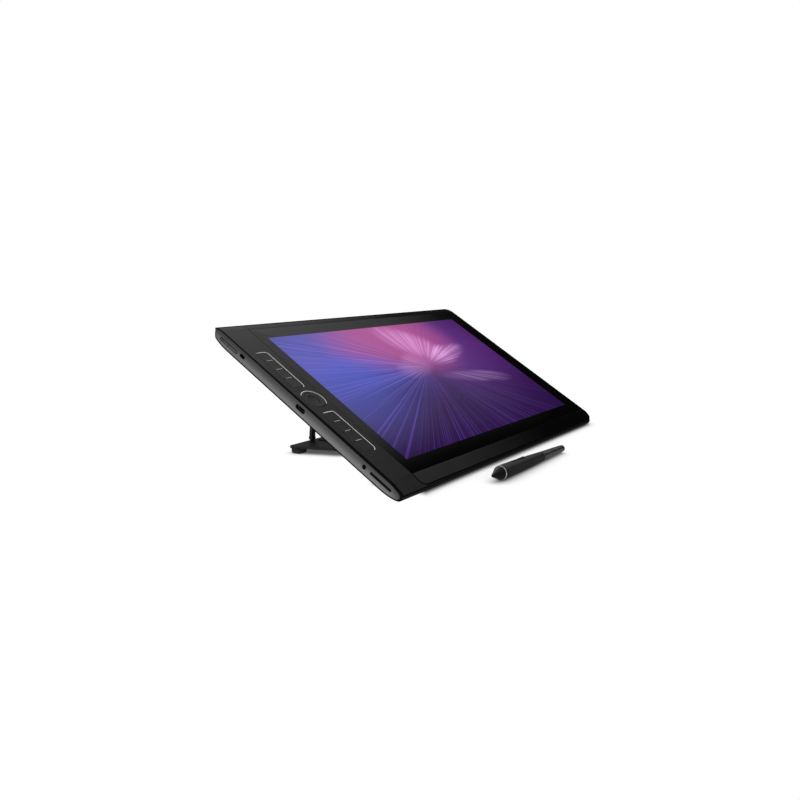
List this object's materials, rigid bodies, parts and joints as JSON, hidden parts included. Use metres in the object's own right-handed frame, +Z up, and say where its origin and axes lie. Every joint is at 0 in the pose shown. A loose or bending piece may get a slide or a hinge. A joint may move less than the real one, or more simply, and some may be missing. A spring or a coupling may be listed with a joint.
{
  "type": "pen drawing tablet",
  "caption": "Pen drawing tablet with a built-in display, a key strip with a touch ring, a folding easel stand, and a pen lying beside it.",
  "frame": {"origin": "centre of the whole object's outline on the desk plane, at rest with the tablet leaning on its open stand and the pen lying in front", "axes": "+Z up, +X along the tablet's long side with the key strip at -X, +Y from the user towards the back"},
  "size_m": [0.419, 0.2587, 0.1366],
  "materials": {
    "case": "matte dark grey, fine moulded grain",
    "rear_shell": "matte dark grey",
    "side_trim": "brushed and anodised grey",
    "cover_glass": "black etched glass",
    "bezel": "satin dark grey",
    "keys": "matte dark grey",
    "rubber": "matte black",
    "steel": "satin",
    "stand": "satin dark grey",
    "display": "smooth film",
    "board": "solder mask",
    "chassis": "plain stamped",
    "battery": "wrapped film",
    "copper": "bare copper",
    "pen_body": "satin black",
    "pen_grip": "soft matte black",
    "pen_accent": "satin ring"
  },
  "bodies": {
    "tablet": {"front_cover": "case", "back_cover": "rear_shell", "left_side_trim": "side_trim", "right_side_trim": "side_trim", "cover_glass": "cover_glass", "front_bezel_strip": "bezel", "rear_bezel_strip": "bezel", "lcd_panel": "display", "digitizer_board": "board", "mid_chassis": "chassis", "main_board": "board", "battery_pack": "battery", "fan_housing": "case", "heat_pipe": "copper", "speaker_left": "case", "speaker_right": "case", "key_board": "board", "audio_jack": "keys", "sd_card_socket": "steel", "usb_c_socket_left": "steel", "usb_c_socket_right": "steel", "front_foot_left": "rubber", "front_foot_right": "rubber", "rear_foot_left": "rubber", "rear_foot_right": "rubber", "stand_mount_plate": "stand", "stand_screw_1": "steel", "stand_screw_2": "steel", "stand_screw_3": "steel", "stand_screw_4": "steel", "strut_pin_left": "steel", "strut_pin_right": "steel"},
    "key_1": {"express_key_1": "keys"},
    "key_2": {"express_key_2": "keys"},
    "key_3": {"express_key_3": "keys"},
    "key_4": {"express_key_4": "keys"},
    "key_5": {"express_key_5": "keys"},
    "key_6": {"express_key_6": "keys"},
    "key_7": {"express_key_7": "keys"},
    "key_8": {"express_key_8": "keys"},
    "ring_gimbal": {"rocker_gimbal": "steel"},
    "ring": {"rocker_ring": "keys"},
    "home": {"home_button": "keys"},
    "volume": {"volume_rocker": "keys"},
    "power": {"power_button": "keys"},
    "fan": {"fan_rotor": "keys"},
    "strut": {"stand_strut": "stand"},
    "base": {"stand_base_plate": "stand", "base_pin_left": "steel", "base_pin_right": "steel", "base_pad_left": "rubber", "base_pad_right": "rubber", "base_pad_front": "rubber"},
    "pen": {"pen_barrel": "pen_body", "pen_grip": "pen_grip", "pen_accent_ring": "pen_accent", "pen_nose_cone": "pen_body"},
    "nib": {"pen_nib": "pen_body"},
    "side_switch": {"pen_side_switch": "keys"},
    "tail": {"pen_tail_eraser": "rubber"}
  },
  "joints": [
    {"name": "key_press_1", "type": "slide", "parent": "tablet", "child": "key_1", "axis": [0, 0.512, -0.859], "range_m": [0, 0.0005], "stiffness_N_per_m": 600},
    {"name": "key_press_2", "type": "slide", "parent": "tablet", "child": "key_2", "axis": [0, 0.512, -0.859], "range_m": [0, 0.0005], "stiffness_N_per_m": 600},
    {"name": "key_press_3", "type": "slide", "parent": "tablet", "child": "key_3", "axis": [0, 0.512, -0.859], "range_m": [0, 0.0005], "stiffness_N_per_m": 600},
    {"name": "key_press_4", "type": "slide", "parent": "tablet", "child": "key_4", "axis": [0, 0.512, -0.859], "range_m": [0, 0.0005], "stiffness_N_per_m": 600},
    {"name": "key_press_5", "type": "slide", "parent": "tablet", "child": "key_5", "axis": [0, 0.512, -0.859], "range_m": [0, 0.0005], "stiffness_N_per_m": 600},
    {"name": "key_press_6", "type": "slide", "parent": "tablet", "child": "key_6", "axis": [0, 0.512, -0.859], "range_m": [0, 0.0005], "stiffness_N_per_m": 600},
    {"name": "key_press_7", "type": "slide", "parent": "tablet", "child": "key_7", "axis": [0, 0.512, -0.859], "range_m": [0, 0.0005], "stiffness_N_per_m": 600},
    {"name": "key_press_8", "type": "slide", "parent": "tablet", "child": "key_8", "axis": [0, 0.512, -0.859], "range_m": [0, 0.0005], "stiffness_N_per_m": 600},
    {"name": "ring_tilt_side", "type": "hinge", "parent": "tablet", "child": "ring_gimbal", "pos_m": [-0.1906, 0.02214, 0.07211], "axis": [0, 0.859, 0.512], "range_deg": [-2.5, 2.5], "stiffness_Nm_per_rad": 0.02},
    {"name": "ring_tilt_front", "type": "hinge", "parent": "ring_gimbal", "child": "ring", "pos_m": [-0.1906, 0.02214, 0.07211], "axis": [1, 0, 0], "range_deg": [-2.5, 2.5], "stiffness_Nm_per_rad": 0.02},
    {"name": "home_press", "type": "slide", "parent": "tablet", "child": "home", "axis": [0, 0.512, -0.859], "range_m": [0, 0.0003], "stiffness_N_per_m": 600},
    {"name": "volume_rock", "type": "hinge", "parent": "tablet", "child": "volume", "pos_m": [-0.2072, 0.11, 0.12041], "axis": [0, -0.512, 0.859], "range_deg": [-1, 1], "stiffness_Nm_per_rad": 0.05},
    {"name": "power_press", "type": "slide", "parent": "tablet", "child": "power", "axis": [-1, 0, 0], "range_m": [0, 0.0003], "stiffness_N_per_m": 600},
    {"name": "fan_spin", "type": "hinge", "parent": "tablet", "child": "fan", "pos_m": [-0.148, 0.07103, 0.09008], "axis": [0, -0.512, 0.859], "continuous": true},
    {"name": "stand_fold", "type": "hinge", "parent": "tablet", "child": "strut", "pos_m": [0, 0.10452, 0.08781], "axis": [1, 0, 0], "range_deg": [-62, 0]},
    {"name": "base_fold", "type": "hinge", "parent": "strut", "child": "base", "pos_m": [0, 0.10883, 0.01115], "axis": [1, 0, 0], "range_deg": [0, 93]},
    {"name": "pen_lift", "type": "slide", "parent": "tablet", "child": "pen", "axis": [0, 0, 1], "range_m": [0, 0.12]},
    {"name": "nib_press", "type": "slide", "parent": "pen", "child": "nib", "axis": [0.9998, -0.0017, -0.0214], "range_m": [0, 0.0008], "stiffness_N_per_m": 300},
    {"name": "side_switch_rock", "type": "hinge", "parent": "pen", "child": "side_switch", "pos_m": [-0.06347, -0.12316, 0.01334], "axis": [0.0017, 1, 0], "range_deg": [-1.5, 1.5], "stiffness_Nm_per_rad": 0.02},
    {"name": "tail_press", "type": "slide", "parent": "pen", "child": "tail", "axis": [-0.9998, 0.0017, 0.0214], "range_m": [0, 0.0003], "stiffness_N_per_m": 600}
  ],
  "couplings": [
    {"joint": "base_fold", "follows": "stand_fold", "ratio": -1.5}
  ]
}
